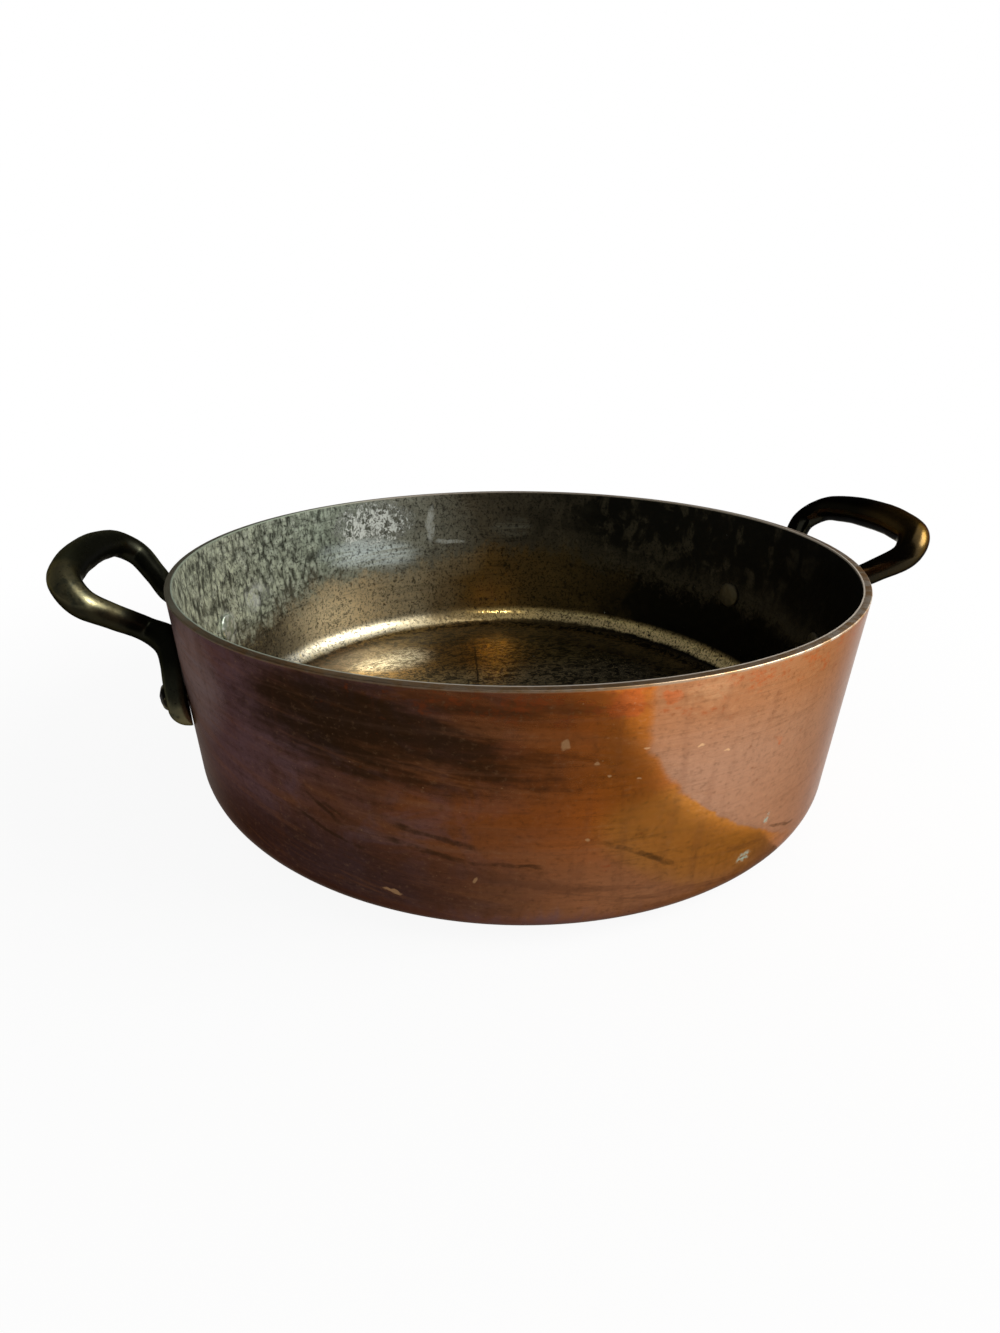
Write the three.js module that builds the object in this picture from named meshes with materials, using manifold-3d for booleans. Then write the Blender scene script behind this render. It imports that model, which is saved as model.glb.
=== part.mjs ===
// Two-handled copper pan, tin lined inside, with two cast loop handles held by rivets.
// Millimetres, +Z up. The origin is the middle of the base's underside, and the handles lie along X.

import * as THREE from 'three';
import { mergeVertices } from 'three/addons/utils/BufferGeometryUtils.js';
import Module from 'manifold-3d';

const wasm = await Module();
wasm.setup();

// Copper shell
const RIM_DIAMETER = 280;
const PAN_HEIGHT = 88.5;
const WALL_LEAN = THREE.MathUtils.degToRad(1.2);
const COPPER_THICKNESS = 2.2;
const BASE_CORNER_RADIUS = 14.5;
const RIM_EDGE_RADIUS = 0.6;

// Tin lining
const LINING_THICKNESS = 0.3;
const LINING_GAP = 0.2;

// Handle loop, measured to the middle of the bar
const GRIP_REACH = 34.5;
const GRIP_RISE = 6.4;
const GRIP_BOW = 1.2;
const GRIP_SIDE_WIDTH = 35;
const SHOULDER_WIDTH = 60;
const SHOULDER_SETBACK = 4.8;
const LOOP_WIDTH = 70;
const LOOP_SETBACK = 13.4;
const ARM_WIDTH = 58;
const NECK_WIDTH = 41;
const NECK_DROP = 19.5;
const NECK_STANDOFF = 11.2;

// Bar diameters along the loop
const GRIP_DIAMETER = 12.7;
const GRIP_SIDE_DIAMETER = 12.3;
const SHOULDER_DIAMETER = 11.6;
const LOOP_DIAMETER = 11;
const ARM_DIAMETER = 10;

// Handle feet
const ANKLE_WIDTH = 54.5;
const ANKLE_DROP = 24.7;
const ANKLE_STANDOFF = 2.4;
const ANKLE_DIAMETER = 12.6;
const FOOT_WIDTH = 15;
const FOOT_THICKNESS = 7;
const FOOT_PRESSED = 1.4;
const FOOT_TAIL = 12;
const FOOT_SPLAY = 0.35;
const FOOT_SQUARENESS = 3;
const TAIL_ROUNDNESS = 2.5;
const TAIL_THIN_FROM = 0.4;
const TAIL_TIP = 0.02;
const SPOT_FACE_DEPTH = 0.4;

// Rivets
const RIVET_SPACING = 74;
const RIVET_DROP = 42;
const SHANK_DIAMETER = 6;
const OUTER_HEAD_DIAMETER = 10.4;
const OUTER_HEAD_HEIGHT = 2.6;
const INNER_HEAD_DIAMETER = 12.5;
const INNER_HEAD_HEIGHT = 1.6;
const HEAD_EDGE = 0.5;

// Fits
const SEAT_GAP = 0.3;
const SHANK_CLEARANCE = 0.3;
const WELD = 1e-4;

// Facets
const PAN_SEGMENTS = 72;
const CORNER_STEPS = 6;
const RIVET_SEGMENTS = 20;
const DOME_STEPS = 4;
const BAR_SIDES = 12;
const RINGS_PER_SPAN = 5;
const FINEST_FILLET = 0.5;

// Sizes worked out from the ones above
const RIM_RADIUS = RIM_DIAMETER / 2;
const LINING_OUTSIDE = COPPER_THICKNESS + LINING_GAP;
const LINING_INSIDE = LINING_OUTSIDE + LINING_THICKNESS;
const RIVET_HEIGHT = PAN_HEIGHT - RIVET_DROP;
const SPOT_FACE = SEAT_GAP + FOOT_THICKNESS - SPOT_FACE_DEPTH;

const COPPER = new THREE.MeshStandardMaterial({ color: 0x9a5a3a, roughness: 0.35, metalness: 1 });
const TIN = new THREE.MeshStandardMaterial({ color: 0x8c8a80, roughness: 0.45, metalness: 1 });
const BRONZE = new THREE.MeshStandardMaterial({ color: 0x5d5238, roughness: 0.4, metalness: 1 });
const RIVET_METAL = new THREE.MeshStandardMaterial({ color: 0x4a4233, roughness: 0.5, metalness: 1 });

// Solids: a closed geometry goes in with its seams welded, and comes out after the cuts
function toSolid(geometry) {
  const bare = geometry.clone();
  bare.deleteAttribute('normal');
  bare.deleteAttribute('uv');
  const welded = mergeVertices(bare, WELD);
  const index = welded.index.array;
  const triangles = [];
  for (let i = 0; i < index.length; i += 3) {
    const [a, b, c] = [index[i], index[i + 1], index[i + 2]];
    if (a !== b && b !== c && c !== a) {
      triangles.push(a, b, c);
    }
  }
  const vertProperties = new Float32Array(welded.attributes.position.array);
  const triVerts = new Uint32Array(triangles);
  return new wasm.Manifold(new wasm.Mesh({ numProp: 3, vertProperties, triVerts }));
}

function toGeometry(solid) {
  const mesh = solid.getMesh();
  const geometry = new THREE.BufferGeometry();
  geometry.setAttribute('position', new THREE.Float32BufferAttribute(mesh.vertProperties, 3));
  geometry.setIndex(Array.from(mesh.triVerts));
  geometry.computeVertexNormals();
  return geometry;
}

function cut(geometry, tools) {
  let solid = toSolid(geometry);
  for (const tool of tools) {
    solid = solid.subtract(toSolid(tool));
  }
  return toGeometry(solid);
}

// The pan's wall leans out, so its outer radius grows with height
function wallRadius(height) {
  return RIM_RADIUS - (PAN_HEIGHT - height) * Math.tan(WALL_LEAN);
}

function arc(centre, radius, from, to, steps) {
  const points = [];
  for (let i = 0; i <= steps; i += 1) {
    const angle = THREE.MathUtils.lerp(from, to, i / steps);
    points.push(new THREE.Vector2(centre.x + radius * Math.cos(angle), centre.y + radius * Math.sin(angle)));
  }
  return points;
}

// Section of the shell at a depth below its outer face: floor, rounded corner, and wall up to the rim
function shellSection(depth) {
  const fillet = Math.max(BASE_CORNER_RADIUS - depth, FINEST_FILLET);
  const inset = depth + fillet;
  const across = RIM_RADIUS - (inset + (PAN_HEIGHT - inset) * Math.sin(WALL_LEAN)) / Math.cos(WALL_LEAN);
  const centre = new THREE.Vector2(across, inset);
  const corner = arc(centre, fillet, -Math.PI / 2, -WALL_LEAN, CORNER_STEPS);
  const rim = new THREE.Vector2(RIM_RADIUS - depth / Math.cos(WALL_LEAN), PAN_HEIGHT);
  return [new THREE.Vector2(0, depth), ...corner, rim];
}

function revolve(profile, segments) {
  return new THREE.LatheGeometry(profile, segments).rotateX(Math.PI / 2);
}

// Rivets: where each one stands on the wall, and the frame that points out along its shank
const rivetAngle = Math.asin(RIVET_SPACING / 2 / wallRadius(RIVET_HEIGHT));

function rivetFrame(angle) {
  const outward = new THREE.Vector3(Math.cos(angle), Math.sin(angle), 0);
  const normal = outward.clone().multiplyScalar(Math.cos(WALL_LEAN)).setZ(-Math.sin(WALL_LEAN));
  const place = outward.clone().multiplyScalar(wallRadius(RIVET_HEIGHT)).setZ(RIVET_HEIGHT);
  const turn = new THREE.Quaternion().setFromUnitVectors(new THREE.Vector3(0, 1, 0), normal);
  return new THREE.Matrix4().compose(place, turn, new THREE.Vector3(1, 1, 1));
}

// A cylinder along a rivet's shank, between two distances from the wall's outer face
function bore(angle, radius, from, to) {
  const tool = new THREE.CylinderGeometry(radius, radius, to - from, RIVET_SEGMENTS);
  tool.translate(0, (from + to) / 2, 0);
  return tool.applyMatrix4(rivetFrame(angle));
}

function shankHole(angle) {
  const depth = 2 * LINING_INSIDE;
  const height = 2 * FOOT_THICKNESS;
  return bore(angle, SHANK_DIAMETER / 2 + SHANK_CLEARANCE, -depth, height);
}

const rivets = [
  { name: 'rivet_right_front', angle: -rivetAngle },
  { name: 'rivet_right_back', angle: rivetAngle },
  { name: 'rivet_left_front', angle: Math.PI + rivetAngle },
  { name: 'rivet_left_back', angle: Math.PI - rivetAngle },
];

// The inner head is flat beneath, so it stands off the hollow wall by the hollow's depth across it
function rivetGeometry() {
  const innerRadius = wallRadius(RIVET_HEIGHT) - LINING_INSIDE;
  const hollow = innerRadius - Math.sqrt(innerRadius ** 2 - (INNER_HEAD_DIAMETER / 2) ** 2);
  const innerSeat = -LINING_INSIDE - hollow - SEAT_GAP;
  const outerSeat = SPOT_FACE + SEAT_GAP;
  const dome = (radius, seat, height) => {
    const points = [new THREE.Vector2(radius, seat)];
    for (let i = 0; i <= DOME_STEPS; i += 1) {
      const angle = (i / DOME_STEPS) * (Math.PI / 2);
      const rise = Math.sign(height) * HEAD_EDGE + (height - Math.sign(height) * HEAD_EDGE) * Math.sin(angle);
      points.push(new THREE.Vector2(i === DOME_STEPS ? 0 : radius * Math.cos(angle), seat + rise));
    }
    return points;
  };
  const inside = dome(INNER_HEAD_DIAMETER / 2, innerSeat, -INNER_HEAD_HEIGHT).reverse();
  const outside = dome(OUTER_HEAD_DIAMETER / 2, outerSeat, OUTER_HEAD_HEIGHT);
  const shank = [innerSeat, outerSeat].map((seat) => new THREE.Vector2(SHANK_DIAMETER / 2, seat));
  return new THREE.LatheGeometry([...inside, ...shank, ...outside], RIVET_SEGMENTS);
}

// Handle: a point on the wall, the bar's stations from one foot's tail to the grip, and the loft
function onWall(across, height, standOff) {
  const angle = Math.asin(across / wallRadius(height));
  const radius = wallRadius(height) + standOff;
  return new THREE.Vector3(radius * Math.cos(angle), radius * Math.sin(angle), height);
}

function handleStations() {
  const rivetAcross = RIVET_SPACING / 2;
  const tailAcross = rivetAcross + FOOT_SPLAY * FOOT_TAIL;
  const footMiddle = SEAT_GAP + (FOOT_THICKNESS - FOOT_PRESSED) / 2;
  const foot = { width: FOOT_WIDTH, depth: FOOT_THICKNESS + FOOT_PRESSED, square: FOOT_SQUARENESS };
  const round = (diameter) => ({ width: diameter, depth: diameter, square: 2 });
  const neck = onWall(NECK_WIDTH / 2, PAN_HEIGHT - NECK_DROP, NECK_STANDOFF);
  const grip = new THREE.Vector3(RIM_RADIUS + GRIP_REACH, 0, PAN_HEIGHT + GRIP_RISE);
  // the loop is flat and slopes up, from the line between the two necks out to the grip
  const root = new THREE.Vector3(neck.x, 0, neck.z);
  const reach = root.distanceTo(grip);
  const slope = grip.clone().sub(root).divideScalar(reach);
  const onLoop = (along, width) => root.clone().addScaledVector(slope, along).setY(width / 2);
  return [
    { at: onWall(tailAcross, RIVET_HEIGHT - FOOT_TAIL, footMiddle), ...foot },
    { at: onWall(rivetAcross, RIVET_HEIGHT, footMiddle), ...foot },
    { at: onWall(ANKLE_WIDTH / 2, PAN_HEIGHT - ANKLE_DROP, ANKLE_STANDOFF), ...round(ANKLE_DIAMETER) },
    { at: neck, ...round(ARM_DIAMETER) },
    { at: onLoop((reach - LOOP_SETBACK) / 2, ARM_WIDTH), ...round(ARM_DIAMETER) },
    { at: onLoop(reach - LOOP_SETBACK, LOOP_WIDTH), ...round(LOOP_DIAMETER) },
    { at: onLoop(reach - SHOULDER_SETBACK, SHOULDER_WIDTH), ...round(SHOULDER_DIAMETER) },
    { at: onLoop(reach - GRIP_BOW, GRIP_SIDE_WIDTH), ...round(GRIP_SIDE_DIAMETER) },
    { at: grip, ...round(GRIP_DIAMETER) },
  ];
}

function mirrored(station) {
  return { ...station, at: station.at.clone().multiply(new THREE.Vector3(1, -1, 1)) };
}

// Ring of the bar about its path: a rounded section, pressed on the wall where it meets it
function barRing(centre, along, size, tail) {
  const out = new THREE.Vector3(1, 0, 0);
  out.addScaledVector(along, -out.dot(along)).normalize();
  const side = along.clone().cross(out);
  const width = size.x * Math.sqrt(1 - tail ** TAIL_ROUNDNESS);
  const thinning = Math.max((tail - TAIL_THIN_FROM) / (1 - TAIL_THIN_FROM), 0);
  const thin = Math.sqrt(1 - thinning ** 2);
  const ring = [];
  for (let i = 0; i < BAR_SIDES; i += 1) {
    const angle = ((i + 0.5) / BAR_SIDES) * 2 * Math.PI;
    const rounded = (value) => Math.sign(value) * Math.abs(value) ** (2 / size.z);
    const point = centre.clone();
    point.addScaledVector(side, (width / 2) * rounded(Math.cos(angle)));
    point.addScaledVector(out, (size.y / 2) * rounded(Math.sin(angle)));
    const seat = wallRadius(point.z) + SEAT_GAP;
    const radius = Math.hypot(point.x, point.y);
    const pressed = seat + Math.max(radius - seat, 0) * thin;
    point.x *= pressed / radius;
    point.y *= pressed / radius;
    ring.push(point);
  }
  return ring;
}

function loft(rings) {
  const sides = rings[0].length;
  const positions = [];
  const index = [];
  rings.flat().forEach((point) => positions.push(point.x, point.y, point.z));
  for (let r = 0; r + 1 < rings.length; r += 1) {
    for (let i = 0; i < sides; i += 1) {
      const [a, b] = [r * sides + i, r * sides + ((i + 1) % sides)];
      const [c, d] = [a + sides, b + sides];
      index.push(a, d, b, a, c, d);
    }
  }
  const last = (rings.length - 1) * sides;
  for (let i = 1; i + 1 < sides; i += 1) {
    index.push(0, i, i + 1);
    index.push(last, last + i + 1, last + i);
  }
  const geometry = new THREE.BufferGeometry();
  geometry.setAttribute('position', new THREE.Float32BufferAttribute(positions, 3));
  geometry.setIndex(index);
  return geometry;
}

function handleGeometry() {
  const half = handleStations();
  const stations = [...half, ...half.slice(0, -1).reverse().map(mirrored)];
  const path = new THREE.CatmullRomCurve3(stations.map((station) => station.at));
  const sizes = new THREE.CatmullRomCurve3(
    stations.map((station) => new THREE.Vector3(station.width, station.depth, station.square)),
  );
  const spans = stations.length - 1;
  const steps = spans * RINGS_PER_SPAN;
  const rings = [];
  for (let i = 0; i <= steps; i += 1) {
    const t = THREE.MathUtils.clamp(i / steps, TAIL_TIP / spans, 1 - TAIL_TIP / spans);
    const fromEnd = Math.min(t, 1 - t) * spans;
    const tail = Math.max(1 - fromEnd, 0);
    rings.push(barRing(path.getPoint(t), path.getTangent(t), sizes.getPoint(t), tail));
  }
  const bar = loft(rings);
  const tools = [];
  for (const angle of [-rivetAngle, rivetAngle]) {
    tools.push(shankHole(angle));
    tools.push(bore(angle, OUTER_HEAD_DIAMETER / 2 + SEAT_GAP, SPOT_FACE, 2 * SPOT_FACE));
  }
  return cut(bar, tools);
}

// Assembly
function named(name, geometry, material) {
  const mesh = new THREE.Mesh(geometry, material);
  mesh.name = name;
  return mesh;
}

const holes = rivets.map((rivet) => shankHole(rivet.angle));
const rimOutside = new THREE.Vector2(RIM_RADIUS - RIM_EDGE_RADIUS, PAN_HEIGHT - RIM_EDGE_RADIUS);
const rimEdge = arc(rimOutside, RIM_EDGE_RADIUS, 0, Math.PI / 2, 2);
const bodyProfile = [
  ...shellSection(0).slice(0, -1),
  ...rimEdge,
  ...shellSection(COPPER_THICKNESS).reverse(),
];
const liningProfile = [...shellSection(LINING_OUTSIDE), ...shellSection(LINING_INSIDE).reverse()];

const pan = new THREE.Group();
pan.add(named('pan_body', cut(revolve(bodyProfile, PAN_SEGMENTS), holes), COPPER));
pan.add(named('tin_lining', cut(revolve(liningProfile, PAN_SEGMENTS), holes), TIN));

const handle = handleGeometry();
const rightHandle = named('handle_right', handle, BRONZE);
const leftHandle = named('handle_left', handle, BRONZE);
leftHandle.rotation.z = Math.PI;
pan.add(rightHandle, leftHandle);

const rivetShape = toGeometry(toSolid(rivetGeometry()));
for (const { name, angle } of rivets) {
  const rivet = named(name, rivetShape, RIVET_METAL);
  rivetFrame(angle).decompose(rivet.position, rivet.quaternion, rivet.scale);
  pan.add(rivet);
}

export default pan;
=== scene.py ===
"""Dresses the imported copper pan: smooth pieces, worn metal finishes, a plain studio and the camera."""

import math

import bpy
from mathutils import Matrix, Vector, noise


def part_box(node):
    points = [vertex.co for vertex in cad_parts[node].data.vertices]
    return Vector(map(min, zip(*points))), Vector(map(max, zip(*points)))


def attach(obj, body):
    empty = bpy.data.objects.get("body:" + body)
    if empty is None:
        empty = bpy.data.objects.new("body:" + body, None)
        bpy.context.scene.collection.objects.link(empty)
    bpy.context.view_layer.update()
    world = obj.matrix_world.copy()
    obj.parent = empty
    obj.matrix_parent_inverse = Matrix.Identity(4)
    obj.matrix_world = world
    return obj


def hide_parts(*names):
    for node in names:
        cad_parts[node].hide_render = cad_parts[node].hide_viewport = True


bl_info = {
    "name": "Copper pan",
    "version": (1, 0, 0),
    "blender": (4, 5, 0),
    "location": "3D View > Sidebar > Pan",
    "description": "Builds a tin-lined copper pan with loop handles, its worn finishes and a studio",
    "category": "Object",
}

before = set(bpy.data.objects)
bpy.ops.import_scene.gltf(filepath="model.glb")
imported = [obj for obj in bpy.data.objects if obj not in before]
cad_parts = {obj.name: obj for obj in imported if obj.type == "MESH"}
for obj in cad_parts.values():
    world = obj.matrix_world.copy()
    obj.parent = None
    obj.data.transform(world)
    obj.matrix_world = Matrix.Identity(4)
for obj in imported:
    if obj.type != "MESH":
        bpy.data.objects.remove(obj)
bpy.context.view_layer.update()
BODY_LOW, BODY_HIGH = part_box("pan_body")

MM = 0.001
WALL_RUN = (BODY_HIGH.y - BODY_LOW.y) / 2
RIM_TOP = BODY_HIGH.z / MM
FLOOR_REACH = 8
FLOOR_SIDES = 72
DOME_REACH = 1.6
# how square a section of the handle is
ROUND = 2 * MM
SQUARISH = 3 * MM
# rows of faces from a rivet head's edge to its top
DOME_ROWS = 12
# outline in mm of the sheet of painted shade on the floor, seen in the wall's reflection
FLOOR_SHADE_OUTLINE = (
    (95, -128), (86, -146), (75, -171), (71, -202), (70, -222), (64, -245), (66, -280), (90, -700),
    (-1200, -700), (-1200, 250), (0, 250), (0, 0),
)


# Settings that a user would change

def number(label, about, value, **kind):
    return bpy.props.FloatProperty(name=label, description=about, default=value, **kind)


def length(label, about, millimetres):
    return number(label, about, millimetres * MM, min=0, precision=5, unit="LENGTH", subtype="DISTANCE")


def tone(label, about, colour):
    return bpy.props.FloatVectorProperty(
        name=label, description=about, default=colour, size=3, min=0, max=1, subtype="COLOR",
    )


class PanSizes(bpy.types.PropertyGroup):
    """Sizes of the shell and its lining."""

    rim_diameter: length("Rim diameter", "Outside of the rim", (BODY_HIGH.y - BODY_LOW.y) / MM)
    height: length("Height", "From the base to the rim", BODY_HIGH.z / MM)
    wall_lean: number(
        "Wall lean", "How far the wall leans out", math.radians(1.2), unit="ROTATION", subtype="ANGLE",
    )
    copper: length("Copper", "Thickness of the copper", 2.2)
    lining: length("Lining", "From the copper's inner face to the tin's", 0.5)
    corner: length("Base corner", "Outer radius between base and wall", 14.5)
    rim_edge: length("Rim edge", "Rounding of the rim's outer edge", 0.35)
    waves: length("Waves", "How far the beaten wall strays from round", 0.22)
    dimples: length("Dimples", "Depth of the hammer marks inside", 0.1)


class HandleSizes(bpy.types.PropertyGroup):
    """Sizes of a loop handle, measured to the middle of its bar."""

    grip_reach: length("Grip reach", "From the rim out to the grip", 34.5)
    grip_rise: length("Grip rise", "From the rim up to the grip", 6.4)
    grip_bow: length("Grip bow", "How far the grip bows out", 1.2)
    grip_side: length("Grip side", "Width of the straighter part of the grip", 35)
    shoulder_width: length("Shoulder width", "Width of the loop at its outer corners", 60)
    shoulder_back: length("Shoulder setback", "From the grip back to the corners", 4.8)
    loop_width: length("Loop width", "Widest part of the loop", 70)
    loop_back: length("Loop setback", "From the grip back to the widest part", 13.4)
    arm_width: length("Arm width", "Width of the loop at the middle of its arms", 58)
    neck_width: length("Neck width", "Width where the arms come to the wall", 41)
    neck_drop: length("Neck drop", "From the rim down to the neck", 19.5)
    neck_off: length("Neck stand-off", "From the wall out to the neck", 11.2)
    ankle_width: length("Ankle width", "Width where the feet start", 54.5)
    ankle_drop: length("Ankle drop", "From the rim down to the start of the feet", 24.7)
    ankle_off: length("Ankle stand-off", "From the wall out to the start of the feet", 2.4)
    grip_bar: length("Grip bar", "Diameter of the bar at the grip", 12.7)
    side_bar: length("Side bar", "Diameter of the bar beside the grip", 12.3)
    shoulder_bar: length("Shoulder bar", "Diameter of the bar at the corners", 11.6)
    loop_bar: length("Loop bar", "Diameter of the bar at the widest part", 11)
    arm_bar: length("Arm bar", "Diameter of the arms", 10)
    ankle_bar: length("Ankle bar", "Diameter of the bar at the start of a foot", 12.6)
    foot_width: length("Foot width", "Width of a foot", 15)
    foot_thickness: length("Foot thickness", "From the wall to the top of a foot", 7)
    foot_pressed: length("Foot pressed", "How much of a foot's section the wall flattens", 1.4)
    foot_tail: length("Foot tail", "From the rivet to the end of a foot", 12)
    casting: length("Casting", "Unevenness of the cast surface", 0.12)


class RivetSizes(bpy.types.PropertyGroup):
    """Sizes of the rivets."""

    spacing: length("Spacing", "Between the two rivets of a handle", 74)
    drop: length("Drop", "From the rim down to the rivets", 42)
    shank: length("Shank", "Diameter of the shank", 6)
    outer_head: length("Outer head", "Diameter of the head on the foot", 10.4)
    outer_rise: length("Outer rise", "Height of the head on the foot", 2.6)
    inner_head: length("Inner head", "Diameter of the head inside the pan", 12.5)
    inner_rise: length("Inner rise", "Height of the head inside the pan", 1.6)
    edge: length("Head edge", "Height of a head's upright edge", 0.5)
    seat: length("Seat", "Gap under a head and under a foot", 0.3)
    sunk: length("Sunk", "How deep the outer head's seat is faced into the foot", 0.4)


class PanTones(bpy.types.PropertyGroup):
    """Colours of the finishes."""

    copper: tone("Copper", "Rubbed copper", (0.53, 0.22, 0.085))
    # pink also paints the reflection of lit floor on the front right of the wall
    pink: tone("Pink", "Freshly rubbed copper", (0.54, 0.315, 0.205))
    honey: tone("Honey", "Copper under a yellow film", (0.7, 0.28, 0.05))
    amber: tone("Amber", "Copper under a brown film", (0.72, 0.205, 0.03))
    brown: tone("Brown", "Copper under a dark film", (0.23, 0.092, 0.05))
    # mauve also paints the shade reflected on the left of the wall
    mauve: tone("Mauve", "Purple-brown tarnish", (0.33, 0.205, 0.245))
    aged: tone("Aged", "Plain old copper on the back", (0.42, 0.19, 0.1))
    tan: tone("Tan", "Brown film left of the patch rubbed pink", (0.4, 0.14, 0.02))
    red: tone("Red", "Red oxide near the rim", (0.72, 0.15, 0.035))
    # soot also paints the dark reflection in the band under the rim on the left
    soot_and_shade: tone("Soot", "Darkest tarnish of the copper", (0.06, 0.033, 0.016))
    # a painted sheen: the pale reflection on the wall beside the left handle
    painted_sheen: tone("Blush", "Pale tarnish beside the left handle", (1.0, 0.82, 0.8))
    # dusk also paints the shade along the lower left corner of the wall
    dusk: tone("Dusk", "Dark purple tarnish", (0.085, 0.046, 0.046))
    bare: tone("Bare", "Flecks of bare copper", (0.95, 0.58, 0.3))
    edge: tone("Edge", "Tint of the copper's shine at a glancing angle", (0.56, 0.46, 0.41))
    gloom: tone("Gloom", "Tint of the bronze's shine at a glancing angle", (0.24, 0.23, 0.18))
    verdigris: tone("Verdigris", "Green corrosion", (0.3, 0.36, 0.27))
    rim: tone("Rim", "Tin on the rim", (0.68, 0.6, 0.5))
    rim_worn: tone("Worn rim", "Copper showing on the rim", (0.46, 0.29, 0.15))
    # sage is partly painted light on the left of the inside, which the window lights
    sage: tone("Sage", "Palest wiped tin", (0.72, 0.77, 0.58))
    slate: tone("Slate", "Grey tin", (0.42, 0.49, 0.38))
    tin: tone("Tin", "Tin at the back", (0.42, 0.43, 0.34))
    # dull also paints shade on the inner rivet heads on the right
    dull: tone("Dull", "Tin dulled brown", (0.16, 0.135, 0.085))
    crust: tone("Crust", "White crust on the tin", (0.74, 0.78, 0.72))
    bloom: tone("Bloom", "Blue-grey bloom on the tin", (0.7, 0.8, 0.78))
    stain: tone("Stain", "Golden-brown cooking stain", (0.81, 0.69, 0.44))
    # wiped paints the bed's reflection of the bright corner, left of its middle
    wiped: tone("Wiped", "Clean tin on the left of the bed", (0.97, 0.97, 0.9))
    # gilt also paints the highlight right of the middle of the bed
    gilt: tone("Gilt", "Gold film on the bed", (0.6, 0.47, 0.2))
    # ring paints shade round the edge of the bed, where it reflects the dark wall
    ring: tone("Ring", "Dark ring round the edge of the bed", (0.18, 0.125, 0.05))
    umber: tone("Umber", "Darker cooking stain", (0.36, 0.215, 0.065))
    # burnt also paints the shade on the right of the inside
    burnt: tone("Burnt", "Tin burnt dark", (0.01, 0.009, 0.006))
    # corner is partly a painted highlight along the corner of the bed
    corner: tone("Corner", "Worn corner of the bed", (0.95, 0.74, 0.36))
    bronze: tone("Bronze", "Olive bronze of the left handle", (0.16, 0.165, 0.105))
    # a shaded copy of the bronze: painted shade on the right handle
    bronze_shaded: tone("Dark bronze", "Brown bronze of the right handle", (0.016, 0.014, 0.009))
    # bare bronze also paints the highlight on the left loop's front arm
    bronze_bare: tone("Bare bronze", "Bronze where hands rub it", (0.45, 0.39, 0.2))
    rivet: tone("Rivet", "Dark copper of the rivets", (0.025, 0.022, 0.015))
    # black also paints the shade under and inside the loops
    black: tone("Black", "Grime in the corners of the handles", (0.014, 0.014, 0.01))
    floor: tone("Floor", "Studio floor", (0.9, 0.9, 0.9))


class PanStudio(bpy.types.PropertyGroup):
    """Camera and light."""

    camera_place: bpy.props.FloatVectorProperty(
        name="Camera place", description="Where the camera stands", size=3,
        default=(-0.05949, -0.28267, 0.16337), unit="LENGTH", subtype="TRANSLATION",
    )
    camera_turn: bpy.props.FloatVectorProperty(
        name="Camera turn", description="How the camera is turned", size=3,
        default=(math.radians(65.372), math.radians(1.084), math.radians(-7.513)),
        unit="ROTATION", subtype="EULER",
    )
    camera_lens: number("Lens", "Focal length on a 36 mm sensor", 17.97, unit="CAMERA")
    camera_shift: number("Shift", "Sideways shift of the picture", 0.0368)
    fill: number("Fill", "Strength of the light from all round", 0.45, min=0, max=1, subtype="FACTOR")
    window: number("Window", "Power of the soft light on the right", 16, unit="POWER")
    lamp: number("Lamp", "Power of the small warm lamp in front", 9, unit="POWER")


# Shapes

def mix(low, high, part):
    return low + (high - low) * part


def around(angle, radius, height):
    return Vector((radius * math.cos(angle), radius * math.sin(angle), height))


def wall_radius(pan, height):
    return pan.rim_diameter / 2 - (pan.height - height) * math.tan(pan.wall_lean)


def ease(value, low, high):
    part = min(max((value - low) / (high - low), 0), 1)
    return part * part * (3 - 2 * part)


def shell_line(pan, depth, floor_rows, corner_rows, wall_rows):
    """Radius and height along the shell at a depth under its face, from the middle to the rim."""
    lean = pan.wall_lean
    rim = pan.rim_diameter / 2
    fillet = pan.corner - depth
    across = rim - (pan.corner + (pan.height - pan.corner) * math.sin(lean)) / math.cos(lean)
    line = [(across * i / floor_rows, depth) for i in range(floor_rows)]
    for i in range(corner_rows + 1):
        angle = mix(-math.pi / 2, -lean, i / corner_rows)
        line.append((across + fillet * math.cos(angle), pan.corner + fillet * math.sin(angle)))
    low_radius, low_height = line[-1]
    top_radius = rim - depth / math.cos(lean)
    for i in range(1, wall_rows + 1):
        part = i / wall_rows
        line.append((mix(low_radius, top_radius, part), mix(low_height, pan.height, part)))
    return line


def rounded(centre, radius, start, end, steps):
    line = []
    for i in range(steps + 1):
        angle = math.radians(mix(start, end, i / steps))
        line.append((centre[0] + radius * math.cos(angle), centre[1] + radius * math.sin(angle)))
    return line


def lathe(line, segments, shape):
    """Points and faces of a line turned about the Z axis, each point passed through a shape function."""
    points = []
    rows = []
    for radius, height in line:
        count = segments if radius > 0 else 1
        rows.append(range(len(points), len(points) + count))
        for i in range(count):
            angle = 2 * math.pi * i / segments
            points.append(shape(around(angle, radius, height)))
    faces = []
    for low, high in zip(rows, rows[1:]):
        for i in range(segments):
            j = (i + 1) % segments
            ring = [low[i % len(low)], low[j % len(low)], high[j % len(high)], high[i % len(high)]]
            faces.append(tuple(dict.fromkeys(ring)))
    return points, faces


def strips(rows, columns, across):
    """Faces between rows of points, with as many in each strip as it is faces across."""
    faces = []
    for low in range(0, (rows - 1) * columns, columns):
        high = low + columns
        for i in range(across):
            j = (i + 1) % columns
            faces.append((low + i, high + i, high + j, low + j))
    return faces


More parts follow.
